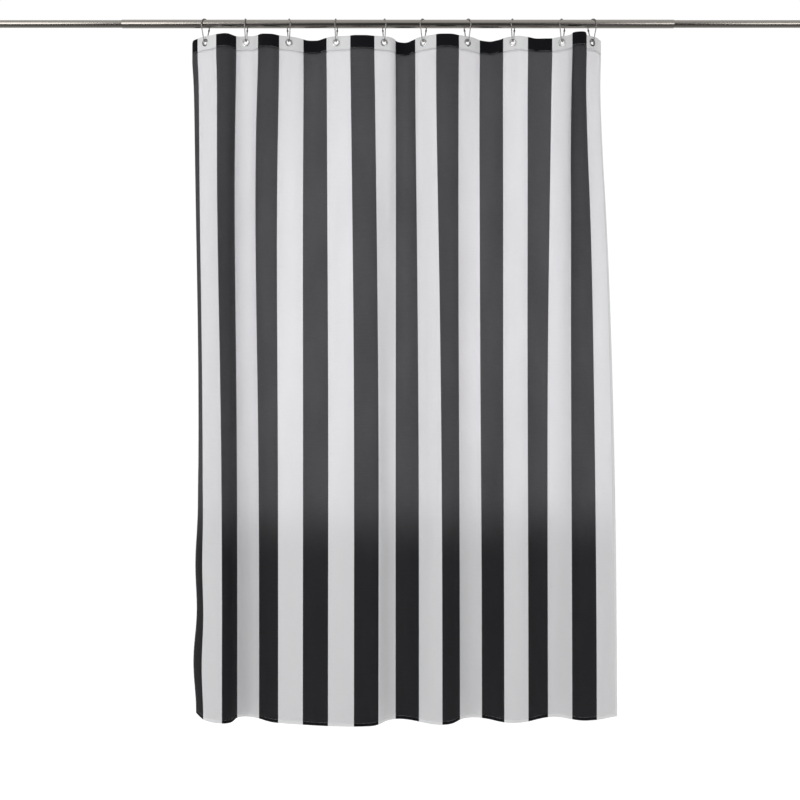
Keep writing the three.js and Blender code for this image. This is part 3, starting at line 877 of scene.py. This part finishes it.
SEAM_MARGIN = 0.004  # long seams stop this far from the side edges, side seams from the heading
surface_level = CLOTH_THICKNESS / 2 + THREAD_RADIUS * 0.3  # a thread lies partly in the cloth
flap_level = FOLD_GAP + CLOTH_THICKNESS / 2 + THREAD_RADIUS * 0.3
heading_back = BACK_LAYER + CLOTH_THICKNESS / 2 + THREAD_RADIUS * 0.3
heading_seam = HEADING_HEIGHT - 0.0025
hem_seam = CLOTH_HEIGHT - HEM_WIDTH + 0.0015
side_seam = HEM_WIDTH - 0.0015
rows_of_stitches = [
    stitches(SEAM_MARGIN, CLOTH_WIDTH - SEAM_MARGIN, heading_seam, -surface_level, False),
    stitches(SEAM_MARGIN, CLOTH_WIDTH - SEAM_MARGIN, heading_seam, heading_back, False),
    stitches(SEAM_MARGIN, CLOTH_WIDTH - SEAM_MARGIN, hem_seam, -surface_level, False),
    stitches(HEM_WIDTH, CLOTH_WIDTH - HEM_WIDTH, hem_seam, flap_level, False),
]
for place in (side_seam, CLOTH_WIDTH - side_seam):
    span = (HEADING_HEIGHT + SEAM_MARGIN, CLOTH_HEIGHT - HEM_WIDTH - 0.002)
    rows_of_stitches.append(stitches(*span, place, -surface_level, True))
    rows_of_stitches.append(stitches(*span, place, flap_level, True))
threads = np.concatenate(rows_of_stitches)
seams = new_piece(
    "seam_stitches",
    thread_material(),
    threads,
    thread_faces(len(threads)),
    "curtain",
)
outward(seams)
gathers(seams)
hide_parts("curtain_panel")

# ---------------------------------------------------------------------------------------------
# The eyelets: two-part nickel-plated brass. The front half's barrel goes through the heading
# and its lip is rolled over the washer on the back.
# ---------------------------------------------------------------------------------------------

EYELET_BORE = 0.006
EYELET_BARREL = 0.0065
EYELET_RIM = 0.011
FACE = -0.0005  # the flange's back, from the middle of the cloth's front layer
FLANGE_THICKNESS = 0.0008
LIP_FRONT = 0.0027
LIP_BACK = 0.0031
LIP_RIM = 0.0076
WASHER = (0.0018, 0.0024)
WASHER_BORE = 0.0068
EYELET_FACETS = 56


def plated_metal(name, dark, light, roughness):
    """Bright plating: faint polishing lines, and tarnish in soft patches."""
    material, place = new_material(name)
    polish = place.stretched((1500, 1500, 1500)).noise(1.0, 2.0)
    tarnish = place.noise(160.0, 3.0)
    surface = place.node(
        "ShaderNodeBsdfPrincipled",
        None,
        {
            "Base Color": (tarnish * 0.7 + polish * 0.3).tint(dark, light),
            "Metallic": 1.0,
            "Roughness": tarnish * 0.15 + polish * 0.06 + (roughness - 0.1),
            "Normal": polish.bump(0.06, 0.0001),
        },
    )
    show(surface)
    return material


eyelet_plating = plated_metal("eyelet_plating", (0.36, 0.355, 0.35), (0.56, 0.555, 0.55), 0.26)
eyelet_outline = rounded(
    [
        (FACE - FLANGE_THICKNESS * 0.6, EYELET_BORE),
        (LIP_BACK, EYELET_BORE),
        (LIP_BACK, LIP_RIM),
        (LIP_FRONT, LIP_RIM),
        (LIP_FRONT, EYELET_BARREL),
        (FACE, EYELET_BARREL),
        (FACE, EYELET_RIM),
        (FACE - FLANGE_THICKNESS * 0.45, EYELET_RIM - 0.0002),
        (FACE - FLANGE_THICKNESS, EYELET_RIM - 0.0018),
        (FACE - FLANGE_THICKNESS, EYELET_BORE + 0.0014),
    ],
    0.0007,
    5,
)
washer_outline = rounded(
    [
        (WASHER[0], WASHER_BORE),
        (WASHER[0], EYELET_RIM),
        (WASHER[1], EYELET_RIM - 0.0005),
        (WASHER[1], WASHER_BORE),
    ],
    0.0003,
)


def facing(points, k, height):
    """Turns points whose X axis goes to the back, so that it goes through the cloth at eyelet k."""
    turn = ring_turn[k] + np.pi / 2
    x = ring_x[k] + points[..., 0] * np.cos(turn) - points[..., 1] * np.sin(turn)
    y = points[..., 0] * np.sin(turn) + points[..., 1] * np.cos(turn)
    return np.stack([x, y, points[..., 2] + height], axis=-1)


for k, number in enumerate(numbers):
    body = "curtain" if k == 0 else f"eyelet_{number}"
    for side, outline in (("front", eyelet_outline), ("back", washer_outline)):
        points, faces = turned(outline, EYELET_FACETS)
        points = facing(points, k, EYELET_Z)
        name = f"eyelet_{side}_{number}"
        piece = new_piece(name + "_fine", eyelet_plating, points, faces, body)
        outward(piece)
        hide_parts(name)

# ---------------------------------------------------------------------------------------------
# The rings: bright steel wire bent to a pear shape, round over the rod and narrow at the foot.
# The wire's two ends meet on the back side, inside a small rolled sleeve that opens to let the
# curtain off.
# ---------------------------------------------------------------------------------------------

WIRE_RADIUS = 0.0015
RING_TOP_RADIUS = 0.0186
RING_FOOT_RADIUS = 0.008
RING_HEIGHT = 0.0652
RING_TOP = 0.0138
CLASP_HEIGHT = -0.015
CLASP_RADIUS = 0.0026
CLASP_LENGTH = 0.007
WIRE_GAP = 0.0008
WIRE_FACETS = 14

# Heights of the middles of the two bends, and the lean of the straight sides between them.
upper = RING_TOP - RING_TOP_RADIUS
lower = RING_TOP - RING_HEIGHT + RING_FOOT_RADIUS
lean = np.arcsin((RING_TOP_RADIUS - RING_FOOT_RADIUS) / (upper - lower))


def ring_line():
    """The wire's middle line in the ring's plane, as (back, up) points from end to end.

    Up the back side, over the rod on an arc, down the front, round the foot on a smaller arc,
    and up the back side again to the sleeve.
    """
    side_top = np.array([RING_TOP_RADIUS * np.cos(lean), upper - RING_TOP_RADIUS * np.sin(lean)])

    def back_at(z):
        return np.array([side_top[0] - (side_top[1] - z) * np.tan(lean), z])

    def arc(radius, middle, start, end, count):
        angle = np.linspace(start, end, count)[:, None]
        return np.concatenate([radius * np.cos(angle), middle + radius * np.sin(angle)], axis=1)

    over = arc(RING_TOP_RADIUS, upper, -lean, np.pi + lean, 49)
    under = arc(RING_FOOT_RADIUS, lower, np.pi + lean, 2 * np.pi - lean, 33)
    start, end = back_at(CLASP_HEIGHT + WIRE_GAP / 2), back_at(CLASP_HEIGHT - WIRE_GAP / 2)
    t = np.linspace(0, 1, 9)[1:-1, None]
    front = over[-1] + (under[0] - over[-1]) * t
    rise = under[-1] + (end - under[-1]) * np.linspace(0, 1, 6)[1:-1, None]
    first = start + (over[0] - start) * np.linspace(0, 1, 4)[1:-1, None]
    return np.concatenate([[start], first, over, front, under, rise, [end]]), back_at(CLASP_HEIGHT)


def wire_along(line, radius):
    """A round wire on a plane line: at each point a circle across the line's direction."""
    tangent = np.gradient(line, axis=0)
    tangent /= np.linalg.norm(tangent, axis=1, keepdims=True)
    angle = np.linspace(0, 2 * np.pi, WIRE_FACETS, endpoint=False)[None, :]
    radius = np.broadcast_to(radius, (len(line),))[:, None]
    out = radius * np.cos(angle)
    points = np.stack(
        [
            line[:, :1] - tangent[:, 1:] * out,
            radius * np.sin(angle) + 0 * out,
            line[:, 1:] + tangent[:, :1] * out,
        ],
        axis=-1,
    )
    return points, grid_faces(len(line), WIRE_FACETS, close_columns=True)


def closed_wire(line, radius):
    """The wire with each end closed by a polygon."""
    points, faces = wire_along(line, radius)
    size = points.shape[0] * points.shape[1]
    caps = [list(range(WIRE_FACETS))[::-1], list(range(size - WIRE_FACETS, size))]
    return points.reshape(-1, 3), faces.tolist() + caps


ring_steel = plated_metal("ring_steel", (0.3, 0.285, 0.285), (0.46, 0.445, 0.445), 0.24)
line, clasp = ring_line()
wire_points, wire_faces = closed_wire(line, WIRE_RADIUS)
along = np.linspace(-1, 1, 13)[:, None]
direction = np.array([np.sin(lean), np.cos(lean)])
sleeve_line = clasp + direction * along * CLASP_LENGTH / 2
crown = np.clip((1 - np.abs(along[:, 0])) / 0.12, 0, 1)
sleeve_radius = CLASP_RADIUS * (0.78 + 0.22 * np.sqrt(crown * (2 - crown)))
sleeve_radius -= 0.00025 * np.exp(-((along[:, 0] / 0.12) ** 2))
sleeve_points, sleeve_faces = closed_wire(sleeve_line, sleeve_radius)
offset = len(wire_points)
ring_points = np.concatenate([wire_points, sleeve_points])
ring_faces = wire_faces + [[index + offset for index in face] for face in sleeve_faces]

for k, number in enumerate(numbers):
    name = f"hook_{number}"
    points = facing(ring_points, k, 0.0)
    piece = new_piece(
        name + "_fine", ring_steel, points, ring_faces, f"ring_{number}"
    )
    outward(piece)
    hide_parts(name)

# ---------------------------------------------------------------------------------------------
# The studio: a pale floor, a white backdrop, a soft light at the front left, a weaker one at the
# right, and a light panel behind the upper part of the curtain. The surroundings differ for what
# is seen, what metal mirrors and what shines on cloth.
# ---------------------------------------------------------------------------------------------

scene = bpy.context.scene
scene.view_settings.view_transform = "Standard"

world = bpy.data.worlds.new("studio")
world.use_nodes = True
tree = world.node_tree
tree.nodes.clear()
direction = Wire(tree, None).node("ShaderNodeTexCoord").out("Generated")
facing_back = direction.node("ShaderNodeSeparateXYZ", None, {0: direction}).out("Y")
facing_up = direction.node("ShaderNodeSeparateXYZ", None, {0: direction}).out("Z")


def fades(value, start, end, low, high):
    """A soft step of brightness, from low where a value is at its start to high at its end."""
    settings = {"interpolation_type": "SMOOTHSTEP"}
    ends = {"From Min": start, "From Max": end, "To Min": low, "To Max": high}
    return value.node("ShaderNodeMapRange", settings, {"Value": value, **ends})


# What shines on cloth is dimmer from the front. Metal mirrors a dark room in front of it, a white
# ceiling, a grey wall behind, and a darker floor. Seen directly, the backdrop is plain white.
BACKDROP = 1.02
on_cloth = fades(facing_back, -0.8, 0.1, 0.1, BACKDROP)
across_view = facing_up * 0.94 - facing_back * 0.34
in_metal = fades(across_view, 0.2, 0.9, 0.02, 0.85) + fades(across_view, -0.12, -0.7, 0, 0.25)
in_metal = in_metal + fades(facing_back, 0.0, 0.7, 0, 0.5)
ray = direction.node("ShaderNodeLightPath")
seen, bounced = ray.out("Is Camera Ray"), ray.out("Is Glossy Ray")
bright = seen * BACKDROP + bounced * in_metal + (1 - seen - bounced) * on_cloth
sky = direction.node("ShaderNodeBackground", None, {"Color": (1, 1, 1, 1), "Strength": bright})
sky.node("ShaderNodeOutputWorld", None, {"Surface": sky})
scene.world = world

FLOOR_HEIGHT = -2.3
FLOOR_HALF = 30
mesh = bpy.data.meshes.new("floor")
corners = np.array([(-1, -1), (1, -1), (1, 1), (-1, 1)]) * FLOOR_HALF
mesh.from_pydata([(x, y, FLOOR_HEIGHT) for x, y in corners.tolist()], [], [(0, 1, 2, 3)])
floor_paint, place = new_material("floor_paint")
show(
    place.node(
        "ShaderNodeBsdfPrincipled",
        None,
        {
            "Base Color": (0.85, 0.85, 0.85, 1),
            "Roughness": 0.9,
            "Emission Color": (1, 1, 1, 1),
            "Emission Strength": 0.35,
        },
    )
)
mesh.materials.append(floor_paint)
floor = bpy.data.objects.new("floor", mesh)
floor.visible_glossy = False  # metal mirrors the floor that the surroundings give it
scene.collection.objects.link(floor)


def softbox(name, place, target, size, power, mirrored=True):
    """A rectangular light that points at a target. It isn't seen, but metal may mirror it."""
    light = bpy.data.lights.new(name, "AREA")
    light.shape = "RECTANGLE"
    light.size, light.size_y = size
    light.energy = power
    made = bpy.data.objects.new(name, light)
    made.location = place
    made.rotation_euler = (Vector(target) - Vector(place)).to_track_quat("-Z", "Y").to_euler()
    made.visible_camera = False
    made.visible_glossy = mirrored
    scene.collection.objects.link(made)


middle = rod_span / 2
softbox("front_left", (middle - 2.55, -3.1, 0.0), (middle, 0, -1.0), (2.0, 2.4), 58)
softbox("front_right", (middle + 2.7, -3.3, -0.4), (middle, 0, -1.1), (1.6, 2.2), 34)
softbox("behind", (middle, 0.24, -0.68), (middle, 0, -0.68), (1.5, 1.42), 3.75, False)

camera = bpy.data.cameras.new("camera")
camera.sensor_width = 36
camera.lens = 47.0
camera_object = bpy.data.objects.new("camera", camera)
camera_object.location = (middle, -3.05, -1.098)
camera_object.rotation_euler = (np.pi / 2, 0, 0)
scene.collection.objects.link(camera_object)
scene.camera = camera_object
